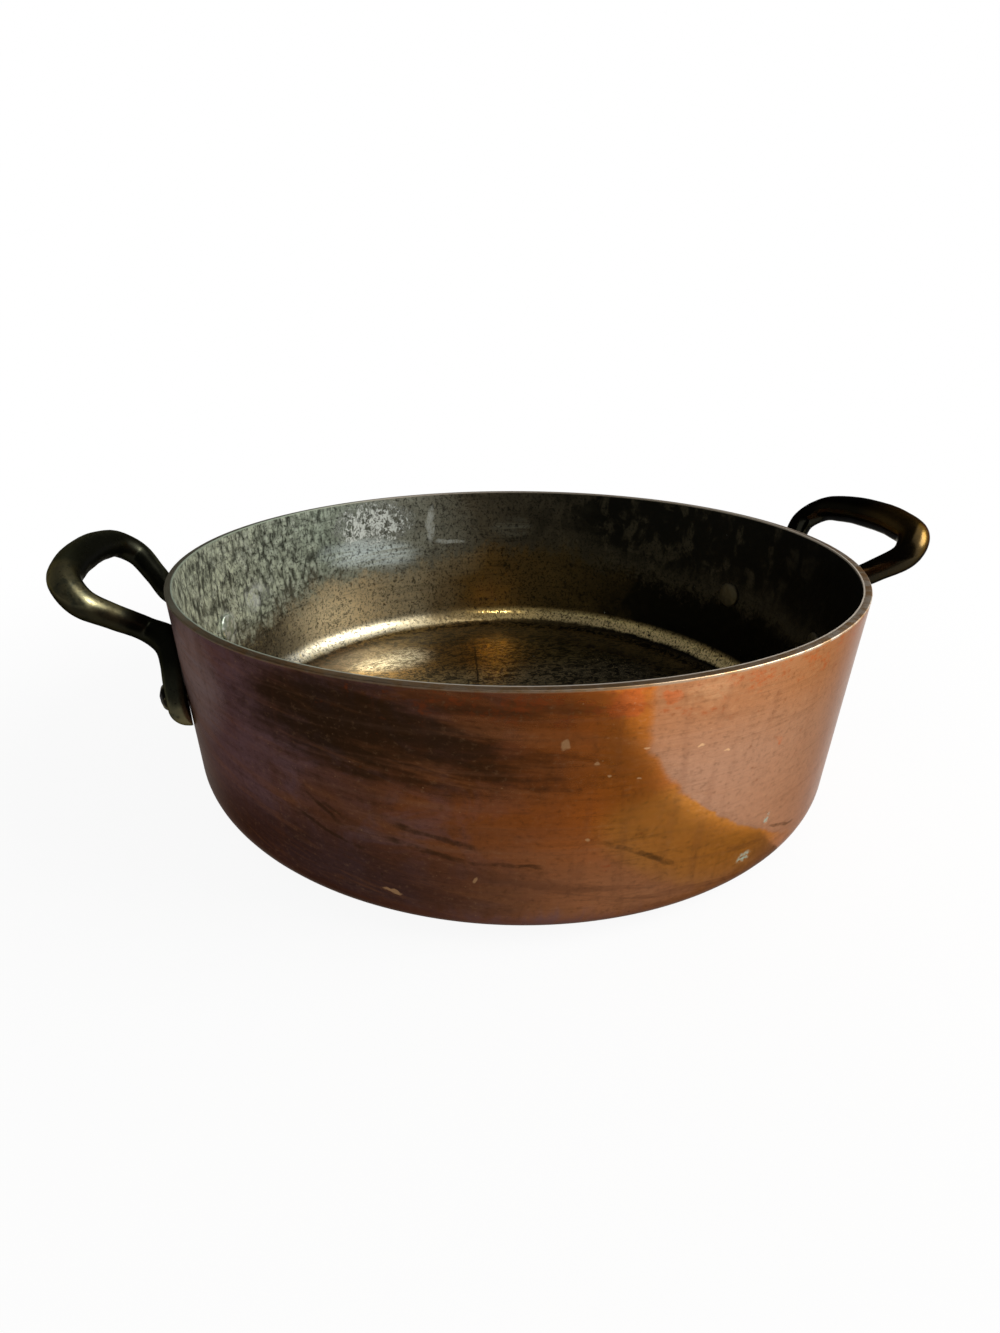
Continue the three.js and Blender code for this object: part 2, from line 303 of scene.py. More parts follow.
def make_mesh(name, points, faces, finish):
    mesh = bpy.data.meshes.new(name)
    mesh.from_pydata([tuple(point) for point in points], [], faces)
    mesh.validate()
    mesh.shade_smooth()
    mesh.materials.append(finish)
    thing = bpy.data.objects.new(name, mesh)
    bpy.context.scene.collection.objects.link(thing)
    return thing


def make_piece(name, points, faces, finish, node, crease=40):
    """A smooth mesh that stands for a CAD node and rides on the pan."""
    piece = make_mesh(name, points, faces, finish)
    piece.data.set_sharp_from_angle(angle=math.radians(crease))
    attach(piece, "root")
    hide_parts(node)


def beaten(pan, point):
    """Moves a point of the wall in or out by the slow waves of a wall beaten by hand."""
    out = Vector((point.x, point.y, 0))
    if out.length == 0:
        return point
    slow = noise.noise(point * 14 + Vector((3, 1, 7)))
    quick = noise.noise(point * 38 + Vector((9, 4, 2)))
    reach = ease(point.z, 0.1 * pan.corner, 1.5 * pan.corner)
    return point + out.normalized() * pan.waves * reach * (0.75 * slow + 0.35 * quick)


def dimpled(pan, point):
    """Adds the hammer marks of the inside to the waves of the wall."""
    out = Vector((point.x, point.y, 0))
    if out.length == 0:
        return point
    cell = Vector((point.x / 5.5, point.y / 5.5, point.z / 11)) / MM
    near = noise.voronoi(cell)[0][0]
    reach = ease(point.z, 1.2 * pan.corner, 3 * pan.corner)
    moved = beaten(pan, point)
    return moved + out.normalized() * pan.dimples * reach * (0.5 - near)


def on_wall(pan, across, height, off):
    angle = math.asin(across / wall_radius(pan, height))
    return around(angle, wall_radius(pan, height) + off, height)


def handle_stations(pan, handle, rivet):
    """Middle of the bar, and its width, depth and squareness, from a foot's tail to the grip."""
    rivet_height = pan.height - rivet.drop
    rivet_across = rivet.spacing / 2
    foot_middle = rivet.seat + (handle.foot_thickness - handle.foot_pressed) / 2
    foot = Vector((handle.foot_width, handle.foot_thickness + handle.foot_pressed, SQUARISH))

    def bar(diameter):
        return Vector((diameter, diameter, ROUND))

    neck = on_wall(pan, handle.neck_width / 2, pan.height - handle.neck_drop, handle.neck_off)
    grip = Vector((pan.rim_diameter / 2 + handle.grip_reach, 0, pan.height + handle.grip_rise))
    root = Vector((neck.x, 0, neck.z))
    reach = (grip - root).length
    slope = (grip - root) / reach

    def on_loop(along, width):
        return root + slope * along + Vector((0, width / 2, 0))

    tail_across = rivet_across + 0.35 * handle.foot_tail
    ankle_height = pan.height - handle.ankle_drop
    return [
        (on_wall(pan, tail_across, rivet_height - handle.foot_tail, foot_middle), foot),
        (on_wall(pan, rivet_across, rivet_height, foot_middle), foot),
        (on_wall(pan, handle.ankle_width / 2, ankle_height, handle.ankle_off), bar(handle.ankle_bar)),
        (neck, bar(handle.arm_bar)),
        (on_loop((reach - handle.loop_back) / 2, handle.arm_width), bar(handle.arm_bar)),
        (on_loop(reach - handle.loop_back, handle.loop_width), bar(handle.loop_bar)),
        (on_loop(reach - handle.shoulder_back, handle.shoulder_width), bar(handle.shoulder_bar)),
        (on_loop(reach - handle.grip_bow, handle.grip_side), bar(handle.side_bar)),
        (grip, bar(handle.grip_bar)),
    ]


def smooth_line(points, part):
    """Point on a smooth line through the given points, at a share of its spans."""
    spans = len(points) - 1
    index = min(int(part * spans), spans - 1)
    w = part * spans - index
    p1, p2 = points[index], points[index + 1]
    p0 = points[index - 1] if index else 2 * p1 - p2
    p3 = points[index + 2] if index + 2 <= spans else 2 * p2 - p1
    d1 = math.sqrt((p2 - p1).length) or math.sqrt(MM)
    d0 = math.sqrt((p1 - p0).length) or d1
    d2 = math.sqrt((p3 - p2).length) or d1
    t1 = ((p1 - p0) / d0 - (p2 - p0) / (d0 + d1) + (p2 - p1) / d1) * d1
    t2 = ((p2 - p1) / d1 - (p3 - p1) / (d1 + d2) + (p3 - p2) / d2) * d1
    return p1 + t1 * w + (3 * (p2 - p1) - 2 * t1 - t2) * w ** 2 + (2 * (p1 - p2) + t1 + t2) * w ** 3


def bar_ring(pan, handle, rivet, centre, along, size, tail, sides):
    """A rounded section of the bar, pressed flat where it lies on the wall and thinned to the tail."""
    out = Vector((1, 0, 0))
    out = (out - along * out.dot(along)).normalized()
    side = along.cross(out)
    width = size.x * math.sqrt(1 - tail ** 2.5)
    thin = math.sqrt(1 - max((tail - 0.4) / 0.6, 0) ** 2)
    power = ROUND / size.z
    ring = []
    for i in range(sides):
        angle = 2 * math.pi * (i + 0.5) / sides
        across = math.copysign(abs(math.cos(angle)) ** power, math.cos(angle)) * width / 2
        rise = math.copysign(abs(math.sin(angle)) ** power, math.sin(angle)) * size.y / 2
        arm = side * across + out * rise
        uneven = noise.noise((centre + arm) * 95) + 0.5 * noise.noise((centre + arm) * 260)
        point = centre + arm + arm.normalized() * handle.casting * uneven
        seat = wall_radius(pan, point.z) + rivet.seat
        radius = math.hypot(point.x, point.y)
        pressed = seat + max(radius - seat, 0) * thin
        ring.append(Vector((point.x * pressed / radius, point.y * pressed / radius, point.z)))
    return ring


def handle_shape(pan, handle, rivet, rings_per_span=16, sides=32):
    half = handle_stations(pan, handle, rivet)
    flip = Matrix.Diagonal((1, -1, 1))
    stations = half + [(flip @ at, size) for at, size in reversed(half[:-1])]
    path = [at for at, size in stations]
    sizes = [size for at, size in stations]
    spans = len(stations) - 1
    steps = spans * rings_per_span
    tip = 0.012 / spans
    points = []
    for i in range(steps + 1):
        part = min(max(i / steps, tip), 1 - tip)
        ahead = smooth_line(path, min(part + 0.5 / spans, 1))
        behind = smooth_line(path, max(part - 0.5 / spans, 0))
        tail = max(1 - min(part, 1 - part) * spans, 0)
        along = (ahead - behind).normalized()
        centre = smooth_line(path, part)
        points += bar_ring(pan, handle, rivet, centre, along, smooth_line(sizes, part), tail, sides)
    faces = strips(steps + 1, sides, sides)
    faces.append(tuple(range(sides)))
    faces.append(tuple(reversed(range(steps * sides, (steps + 1) * sides))))
    return points, faces


def rivet_shape(pan, handle, rivet):
    """A rivet along Z from the wall's outer face, both heads domed and a little uneven."""
    height = pan.height - rivet.drop
    inside = pan.copper + pan.lining
    inner_radius = wall_radius(pan, height) - inside
    hollow = inner_radius - math.sqrt(inner_radius ** 2 - (rivet.inner_head / 2) ** 2)
    inner_seat = -inside - hollow - rivet.seat
    outer_seat = handle.foot_thickness - rivet.sunk + 2 * rivet.seat

    def dome(radius, seat, rise):
        edge = math.copysign(rivet.edge, rise)
        line = [(radius, seat)]
        for i in range(DOME_ROWS + 1):
            angle = math.pi / 2 * i / DOME_ROWS
            reach = radius * math.cos(angle) if i < DOME_ROWS else 0
            line.append((reach, seat + edge + (rise - edge) * math.sin(angle)))
        return line

    line = dome(rivet.inner_head / 2, inner_seat, -rivet.inner_rise)[::-1]
    line += [(rivet.shank / 2, inner_seat), (rivet.shank / 2, outer_seat)]
    line += dome(rivet.outer_head / 2, outer_seat, rivet.outer_rise)

    def struck(point):
        uneven = noise.noise(point * 420 + Vector((2, 5, 1)))
        return point * (1 + 0.035 * uneven)

    return lathe(line, segments=48, shape=struck)


def rivet_place(pan, rivet, angle):
    """Frame of a rivet on the wall: Z points out along its shank."""
    height = pan.height - rivet.drop
    place = around(angle, wall_radius(pan, height), height)
    normal = around(angle, math.cos(pan.wall_lean), -math.sin(pan.wall_lean))
    return Matrix.Translation(place) @ normal.to_track_quat("Z", "Y").to_matrix().to_4x4()


# Finishes

class Wire:
    """A value in a finish's nodes. Plain maths on wires adds the Math nodes for it."""

    def __init__(self, finish, socket):
        self.finish = finish
        self.socket = socket

    def maths(self, operation, first, second):
        return self.finish.node("ShaderNodeMath", {"operation": operation}, {0: first, 1: second})

    def __add__(self, other):
        return self.maths("ADD", self, other)

    __radd__ = __add__

    def __sub__(self, other):
        return self.maths("SUBTRACT", self, other)

    def __rsub__(self, other):
        return self.maths("SUBTRACT", other, self)

    def __mul__(self, other):
        return self.maths("MULTIPLY", self, other)

    __rmul__ = __mul__

    def __truediv__(self, other):
        return self.maths("DIVIDE", self, other)

    def __pow__(self, other):
        return self.maths("POWER", self, other)

    def at_least(self, other):
        return self.maths("MAXIMUM", self, other)

    def at_most(self, other):
        return self.maths("MINIMUM", self, other)

    def ease(self, low, high):
        """0 at low and 1 at high, with soft ends. Low may be above high."""
        return self.finish.node(
            "ShaderNodeMapRange", {"interpolation_type": "SMOOTHSTEP"},
            {"Value": self, "From Min": low, "From Max": high},
        )


    def over(self, reach, start=0):
        """Rises from 0 where a noise passes its middle value, to 1 a reach above that."""
        return (self - 0.5).ease(start, reach)

    def under(self, reach, start=0):
        return (0.5 - self).ease(start, reach)


class Finish:
    """A node tree that is filled by plain calls, and the places on the pan that its nodes read."""

    def __init__(self, owner):
        owner.use_nodes = True
        self.owner = owner
        self.tree = owner.node_tree
        self.tree.nodes.clear()

    def node(self, kind, settings=None, sockets=None, out=0):
        made = self.tree.nodes.new(kind)
        for key, value in (settings or {}).items():
            if key == "stops":
                self.fill_ramp(made.color_ramp, value)
            else:
                setattr(made, key, value)
        for key, value in (sockets or {}).items():
            socket = made.inputs[key]
            if isinstance(value, Wire):
                self.tree.links.new(value.socket, socket)
            elif socket.type == "RGBA":
                socket.default_value = (*value, 1)
            else:
                socket.default_value = value
        return Wire(self, made.outputs[out]) if made.outputs else None

    def fill_ramp(self, ramp, stops):
        first, *middle, last = stops
        for element, (place, colour) in zip(ramp.elements, (first, last)):
            element.position = place
            element.color = (*colour, 1)
        for place, colour in middle:
            ramp.elements.new(place).color = (*colour, 1)

    def parts(self, vector):
        split = self.node("ShaderNodeSeparateXYZ", {}, {0: vector})
        return [Wire(self, socket) for socket in split.socket.node.outputs]

    def read_place(self):
        """Reads where a point is and faces, and its place in mm on the unrolled wall and the bed."""
        self.place = self.node("ShaderNodeTexCoord", out="Object")
        self.x, self.y, self.z = self.parts(self.place)
        normal = self.node("ShaderNodeNewGeometry", out="Normal")
        self.across, self.along, self.up = self.parts(normal)
        self.run = self.y.maths("ARCTAN2", self.y, self.x) * (WALL_RUN / MM)
        self.rise = self.z / MM
        self.radius = (self.x * self.x + self.y * self.y) ** 0.5 / MM
        sway = self.grain((55, 55, 80), 3, 0.6, 0, (2, 8, 5)) - 0.5
        shake = self.grain((130, 130, 130), 3, 0.6, 0, (7, 3, 1)) - 0.5
        self.wall = (self.run + sway * 9, self.rise + shake * 6)
        self.smooth_wall = (self.run + shake * 2, self.rise + sway * 5)
        self.bed = (self.x / MM + shake * 4, self.y / MM)

    def facing(self, azimuth):
        """1 on the side of the wall that looks towards an azimuth in degrees, -1 on the far side."""
        way = math.radians(azimuth)
        return (self.x * math.cos(way) + self.y * math.sin(way)) / WALL_RUN

    def stretched(self, stretch, shift=(0, 0, 0)):
        return self.node(
            "ShaderNodeVectorMath", {"operation": "MULTIPLY_ADD"}, {0: self.place, 1: stretch, 2: shift},
        )

    def noise(self, place, detail, roughness, twist):
        return self.node("ShaderNodeTexNoise", {}, {
            "Vector": place, "Scale": 1, "Detail": detail, "Roughness": roughness, "Distortion": twist,
        })

    def grain(self, stretch, detail=3, roughness=0.5, twist=0.0, shift=(0, 0, 0)):
        """Smooth noise between 0 and 1, with its own scale along X, Y and Z."""
        return self.noise(self.stretched(stretch, shift), detail, roughness, twist)

    def wiped(self, slope, along, across):
        """Noise in long smears that fall from left to right across the front."""
        level = (self.z + self.x * slope) * across
        place = self.node("ShaderNodeCombineXYZ", {}, {0: self.x * along, 1: self.y * along, 2: level})
        return self.noise(place, 4, 0.62, 0.5)

    def cells(self, stretch):
        """Distance from the middle of the nearest of many scattered cells."""
        return self.node("ShaderNodeTexVoronoi", {}, {"Vector": self.stretched(stretch), "Scale": 1})

    def flecks(self, stretch, rarity, size):
        """Scattered flecks: the rarer, the fewer cells have one."""
        near = self.cells(stretch)
        pick = Wire(self, near.socket.node.outputs["Color"])
        return near.ease(size, 0.5 * size) * pick.ease(rarity, rarity + 0.02)

    def blend(self, part, low, high):
        """Mixes two colours."""
        return self.node("ShaderNodeMix", {"data_type": "RGBA"}, {0: part, 6: low, 7: high}, out=2)

    def film(self, part, colour):
        """Lays a colour over the base where a mask says."""
        self.base = self.blend(part, self.base, colour)

    def ramp(self, value, *stops):
        """A colour that runs through several tones as a value grows."""
        return self.node("ShaderNodeValToRGB", {"stops": stops}, {0: value})

    def spot(self, azimuth, height, half, tilt=0, core=0):
        """1 inside an oval on the unrolled wall, fading to 0 at its edge."""
        cos, sin = math.cos(math.radians(tilt)), math.sin(math.radians(tilt))
        middle = unrolled(azimuth, height)
        u = self.wall[0] - middle[0]
        v = self.wall[1] - middle[1]
        along = (u * cos + v * sin) / half[0]
        across = (v * cos - u * sin) / half[1]
        return (along * along + across * across).ease(1, core)

    def stroke(self, plane, start, end, width):
        """1 along a straight scratch in a plane, fading to 0 at its width and its ends."""
        du, dv = end[0] - start[0], end[1] - start[1]
        u = plane[0] - start[0]
        v = plane[1] - start[1]
        part = ((u * du + v * dv) / (du * du + dv * dv)).at_least(0).at_most(1)
        a = u - part * du
        b = v - part * dv
        ends = (part * (1 - part)).ease(0, 0.12)
        return (a * a + b * b).ease(width * width, 0) * ends

    def bumped(self, height, strength):
        return self.node("ShaderNodeBump", {}, {"Strength": strength, "Distance": MM, "Height": height})

    def close(self, **sockets):
        """Ends the finish with its shader."""
        named = {key.replace("_", " "): value for key, value in sockets.items()}
        shader = self.node("ShaderNodeBsdfPrincipled", {}, named)
        return self.show(shader)

    def glow(self, colour):
        return self.node("ShaderNodeEmission", {}, {"Color": colour, "Strength": 1})

    def show(self, shader):
        self.node("ShaderNodeOutputMaterial", {}, {"Surface": shader})
        return self.owner


def material(name):
    """A new material's finish, with its place read."""
    f = Finish(bpy.data.materials.new(name))
    f.read_place()
    return f


def unrolled(azimuth, height):
    """Place on the unrolled wall in mm, from an azimuth in degrees and a height in mm."""
    return (math.radians(azimuth) * WALL_RUN / MM, height)


def first_of(wires):
    """The largest of several masks."""
    whole = wires[0]
    for wire in wires[1:]:
        whole = whole.at_least(wire)
    return whole


def copper_scratches(f):
    """The long soft scratches on the front of the wall."""
    lines = (
        (-127, 47.1, -121.7, 37.9, 1.1),
        (-124.4, 44.4, -121.5, 41.8, 0.9),
        (-115, 43.3, -104.1, 37.6, 1.2),
        (-116.1, 37.2, -105.3, 32.2, 1.6),
        (-106, 32.4, -96.3, 31, 0.9),
        (-128.8, 38.1, -118.5, 29.6, 0.9),
        (-90.1, 39.6, -78.7, 24.7, 1.2),
        (-63.7, 25.6, -56, 19, 0.8),
    )
    made = []
    for azimuth, height, to_azimuth, to_height, width in lines:
        start, end = unrolled(azimuth, height), unrolled(to_azimuth, to_height)
        made.append(f.stroke(f.smooth_wall, start, end, width))
    return first_of(made)


def copper_flecks(f):
    """The small bare flecks on the front of the wall."""
    places = (
        (-94.9, 72.4, 0.9, 2.1),
        (-105, 26.2, 0.9, 1.5),
        (-91.5, 40, 0.8, 0.7),
        (-85.6, 68.9, 1.1, 0.45),
        (-78.7, 66.8, 1.2, 0.45),
        (-74.8, 63.2, 1.1, 0.45),
        (-91.8, 65.9, 0.9, 0.6),
        (-86.6, 59.6, 0.9, 0.5),
        (-90.3, 61.1, 0.8, 0.6),
        (-115.4, 16.7, 3, 0.7),
    )
    return first_of([f.spot(a, h, (wide, tall), core=0.3) for a, h, wide, tall in places])


def copper_finish(tones):
    f = material("worn_copper")
    cloud = f.grain((17, 17, 30), 6, 0.62, 0.6)
    drift = f.grain((9, 9, 48), 4, 0.6, 0.4, (4, 0, 2))
    hue = f.grain((40, 40, 62), 4, 0.6, 1.0, (6, 1, 3))
    wipes = f.wiped(0.2, 20, 190)
    drips = f.grain((150, 150, 18), 4, 0.62, 0.3, (1, 5, 2))
    lines = f.grain((10, 10, 330), 4, 0.6)
    fine = f.grain((60, 60, 2400), 3, 0.6)
    mottle = f.grain((150, 150, 210), 5, 0.7)
    speckle = f.grain((520, 520, 700), 3, 0.65)
    # the film of tarnish and painted shade: from purple on the left, round the front, to rubbed copper
    # on the right, darker where the wall reflects shaded floor and lighter where it reflects lit floor
    front = f.facing(-35)
    # turned runs from the shaded side of the wall to its lit side
    turned = front * 0.5 + 0.5 + (cloud - 0.5) * 0.3 + (drift - 0.5) * 0.14
    f.base = f.ramp(
        turned, (0.12, tones.aged), (0.32, tones.mauve), (0.56, tones.brown), (0.78, tones.amber),
        (0.97, tones.copper),
    )
    # more mauve on the left: tarnish, and painted shade
    leftward = front.ease(0.55, 0.1) * front.ease(-0.8, -0.4)
    f.film(hue.ease(0.45, 0.62) * leftward * 0.45, tones.mauve)
    # painted reflection: a pink patch on the front right where the wall reflects lit floor, its slanting
    # edge following the edge of the reflected light, and a honey film below it
    u, v = f.wall
    patch_left, patch_top = -209, 68
    below = (patch_top - v).at_least(0)
    slant = u - patch_left - below * (below * 0.015 + 0.54)
    painted_reflection = slant.ease(-1.5, 2) * f.facing(-30).ease(0.1, 0.6)
    f.film(painted_reflection * 0.85, f.blend(v.ease(55, 84) * 0.8, tones.pink, tones.copper))
    honey = f.spot(-75, 33, (48, 22), -20) * (1 - painted_reflection)
    f.film(honey.ease(0, 0.6) * (0.55 + cloud * 0.6), tones.honey)
    f.film(v.ease(50, 22) * front.ease(0.1, 0.6) * (1 - painted_reflection) * (1 - honey) * 0.5, tones.pink)
    olive = f.spot(-87, 66, (15, 24)) * (1 - painted_reflection)
    f.film(olive * 0.5, tones.tan)
    # painted shade: a dark reflection in a band under the rim on the left, and dark purple along the
    # lower left corner, where the wall reflects shaded floor
    band = f.spot(-115, 68, (84, 16), -4)
    under = f.spot(-112, 83, (76, 13), 0, 0.1)
    low = f.spot(-130, 17, (100, 24), 3)
    f.film(low * (0.55 + cloud * 0.6), tones.dusk)
    painted_dark_band = band + under * 0.65
    streaks = (wipes - 0.5) * 0.8 + (lines - 0.5) * 0.6
    streaks = streaks * (1 - low * 0.7) + (cloud - 0.5) * 0.9 + (mottle - 0.5) * 0.5
    # the painted dark band, broken up by streaks of tarnish
    dark_band_and_tarnish = (painted_dark_band * 0.85 + streaks).ease(0.1, 1.0)
    f.film(dark_band_and_tarnish * 0.88, tones.soot_and_shade)
    # painted sheen: a pale reflection on the wall beside the left handle's foot
    sheen = f.spot(-153, 70, (34, 30))
    f.film(sheen * 0.55, tones.painted_sheen)
    # red oxide in blotches near the rim, and a pale smear beside them
    blotch = first_of([
        f.spot(-88.5, 83, (7, 5)),
        f.spot(-83, 84, (4, 3)) * 0.8,
        f.spot(-66.2, 60.7, (2, 3)) * 0.7,
        f.spot(-89.5, 29, (4, 2)) * 0.8,
    ])
    near_rim = f.rise.ease(RIM_TOP - 22, RIM_TOP - 3) * f.facing(-80).ease(0.6, 0.95)
    red = (near_rim * 0.4 + blotch * 0.75 + (mottle - 0.5) * 2 + (speckle - 0.5)).ease(0.35, 0.85)
    f.film(red * 0.65, tones.red)
    smear = f.spot(-79, 84, (11, 5), 4) * mottle.ease(0.35, 0.6)
    f.film(smear * 0.4, tones.bare)
    # polishing lines, wiping marks, runs and blotches, and a darker colour along the base
    f.film(lines.over(0.25) * 0.18, tones.soot_and_shade)
    f.film(lines.under(0.25, 0.03) * 0.15, tones.pink)
    f.film(wipes.over(0.2) * front.ease(0.8, 0.3) * (1 - low) * 0.2, tones.soot_and_shade)
    f.film(wipes.under(0.2) * front.ease(0.9, 0.5) * 0.3, tones.copper)
    f.film(drips.over(0.2) * 0.22, tones.brown)
    f.film(fine.over(0.3) * 0.25, tones.soot_and_shade)
    f.film(mottle.over(0.25, 0.02) * (0.3 - painted_reflection * 0.16), tones.soot_and_shade)
    f.film(speckle.over(0.25) * 0.3, tones.soot_and_shade)
    f.film(speckle.under(0.25, 0.05) * 0.12, tones.bare)
    foot = (f.rise + (mottle - 0.5) * 8 + (drips - 0.5) * 16).ease(15, 4)
    base_tone = f.blend(front.ease(0.0, 0.5), tones.dusk, tones.mauve)
    f.film(foot * 0.8, f.blend(front.ease(0.5, 0.8), base_tone, tones.tan))
    f.film(wipes.over(0.15) * v.ease(36, 16) * 0.45, tones.brown)
    f.film(f.rise.ease(1.2, 0.2) * (0.4 + cloud * 0.5), tones.soot_and_shade)
    # scratches, flecks of bare metal and a green spot
    scratched = copper_scratches(f) * mottle.ease(0.3, 0.6)
    f.film((scratched * 0.65).at_most(0.65), tones.soot_and_shade)
    chips = f.flecks((330, 330, 460), 0.72, 0.12) * mottle.ease(0.42, 0.52)
    f.film(first_of([copper_flecks(f), chips * 0.5]) * 0.7, tones.bare)
    f.film(f.flecks((170, 170, 170), 0.74, 0.1) * 0.5, tones.soot_and_shade)
    green = first_of([
        f.spot(-67.9, 17.6, (4.2, 2.6), 0, 0.1),
        f.spot(-64.5, 30, (1.6, 2.4), 0, 0.1),
    ]) * speckle.ease(0.38, 0.56)
    f.film(green, tones.verdigris)
    # the rim, wiped with tin and worn
    rim = f.rise.ease(RIM_TOP - 1.0, RIM_TOP - 0.4)
    tinned = f.blend(f.facing(180).ease(0.3, 0.8), tones.rim, tones.tin)
    tinned = f.blend(f.facing(-105).ease(0.6, 0.95) * 0.7, tinned, tones.rim_worn)
    bared = mottle.ease(0.4, 0.6) * f.facing(-75).ease(0, 0.6)
    f.film(rim, f.blend(bared, tinned, tones.rim_worn))
    rough = 0.1 + lines * 0.1 + dark_band_and_tarnish * 0.22 + sheen * 0.2 + mottle * 0.06 + speckle * 0.06 + rim * 0.2
    height = lines * 0.016 + fine * 0.01 + mottle * 0.012 - scratched * 0.05
    return f.close(
        Base_Color=f.base, Metallic=1 - green * 0.9, Roughness=rough, Normal=f.bumped(height, 0.5),
        Specular_Tint=tones.edge,
    )


def tin_finish(tones):
    f = material("wiped_tin")
    cloud = f.grain((22, 22, 26), 5, 0.6, 0.7)
    blocks = f.grain((70, 70, 60), 3, 0.5, 1.0, (3, 5, 1))
    mottle = f.grain((150, 150, 110), 5, 0.7, 0.4)
    dashes = f.grain((290, 290, 110), 3, 0.6, 0.8)
    flakes = f.grain((480, 480, 400), 4, 0.72, 0.8)
    pits = f.grain((760, 760, 760), 3, 0.65)
    strokes = f.grain((180, 270, 700), 4, 0.75, 1.2)
    brushed = f.grain((22, 22, 380), 4, 0.65, 0.3)
    scales = f.cells((330, 330, 210)).ease(0.25, 0.65)
    wall = f.rise.ease(3.6, 5.5)
    left = f.facing(180)
    # turned runs from the shaded right of the inside to its lit left
    turned = left * 0.5 + 0.5 + (cloud - 0.5) * 0.25
    # bare tin on the wall: pale scales on the left, dull behind, nearly black on the right; the pale
    # left is partly painted light from the window and the black right is painted shade
    f.base = f.ramp(
        turned, (0.22, tones.burnt), (0.48, tones.dull), (0.64, tones.tin), (0.8, tones.slate),
        (0.97, tones.sage),
    )
    scaled = left.ease(0.25, 0.75)
    f.film(scales * (0.28 + dashes.ease(0.4, 0.6) * 0.55) * scaled, tones.burnt)
    f.film((1 - scales) * mottle.ease(0.4, 0.6) * scaled * 0.25, tones.crust)
    f.film(dashes.over(0.25) * 0.4, tones.burnt)
    f.film(mottle.over(0.2) * 0.4, tones.burnt)
    smudge = f.spot(76, 66, (16, 8)) * brushed.ease(0.3, 0.6)
    f.film(smudge * 0.5, tones.tin)
    islands = blocks.ease(0.48, 0.6) * f.rise.ease(44, 58) * f.facing(50).ease(0.3, 0.8)
    f.film(islands * mottle.ease(0.38, 0.55) * 0.4, tones.dull)
    # white crust, a blue bloom under it and a pale run beside it
    crusted = f.spot(114, 74, (36, 18))
    f.film(crusted * 0.65, tones.burnt)
    threads = (flakes - 0.5) * (flakes - 0.5)
    crust = (crusted + (flakes - 0.5) * 3.4 + (mottle - 0.5) * 1.8).ease(0.8, 1.1)
    crust = crust.at_least(crusted.ease(0.2, 0.5) * threads.ease(0.0003, 0.0) * 0.7)
    bloom = f.spot(115, 56, (42, 12), 8) * (0.4 + brushed.ease(0.35, 0.6) * 0.8)
    run = first_of([
        f.spot(98, 70, (3.2, 14), 6, 0.2),
        f.spot(93, 58, (12, 1.8), 3, 0.2),
    ]) * flakes.ease(0.35, 0.55)
    f.film(bloom * 0.75, tones.bloom)
    # the brown stain of cooking, below a ragged dusky line and over the bed
    level = 43 - 14 * left.ease(0.55, 0.95) + 13 * f.y.ease(0.09, 0.136) * f.x.ease(-0.02, 0.06)
    level = level + (cloud - 0.5) * 30 + (mottle - 0.5) * 26 + (flakes - 0.5) * 22
    dusk = (level + 10 - f.rise).ease(-8, 8) * (1 - bloom * 0.7)
    stained = (level - f.rise).ease(-6, 6)
    # the stain is painted the same way, darkest in the shade on the right
    gold = f.ramp(
        turned, (0.13, tones.burnt), (0.31, tones.ring), (0.46, tones.umber), (0.62, tones.stain),
        (0.8, tones.stain), (0.94, tones.dull),
    )
    # painted light across the bed: dull at both ends and gilt, a painted highlight, right of the middle
    lit = f.x / (2 * WALL_RUN) + 0.47 + (cloud - 0.5) * 0.2
    bed = f.ramp(
        lit, (0.1, tones.dull), (0.3, tones.umber), (0.5, tones.umber), (0.64, tones.gilt),
        (0.95, tones.dull),
    )
    # painted reflections on the bed: a pale patch left of the middle where it mirrors the bright corner,
    # lighter towards the front and middle, and painted shade in a dark ring round its edge, darkest on
    # the left
    u, v = f.bed
    painted_reflection = ((u + 54) * (u + 54) / 1000 + (v - 84) * (v - 84) / 420).ease(1.2, 0.1)
    bed = f.blend(painted_reflection * (0.5 + strokes.ease(0.6, 0.4) * 0.5), bed, tones.wiped)
    ring = f.radius.ease(92, 110)
    bed = f.blend(v.ease(72, 42) * u.ease(-50, -10) * 0.8, bed, tones.stain)
    bed = f.blend(ring * 0.9, bed, f.blend(left.ease(0.3, 0.6), tones.ring, tones.soot_and_shade))
    gold = f.blend(wall, bed, gold)
    f.film(dusk * 0.45, tones.dull)
    f.film(stained, gold)
    f.film(brushed.over(0.25) * wall * 0.5, tones.burnt)
    f.film(flakes.over(0.2) * wall * 0.5, tones.burnt)
    f.film(strokes.ease(0.47, 0.55) * (1 - wall) * (0.85 - painted_reflection * 0.3), tones.burnt)
    scratch = f.stroke(f.bed, (2, 96), (-5, 37), 0.8) * (1 - wall)
    f.film(scratch * 0.9, tones.burnt)
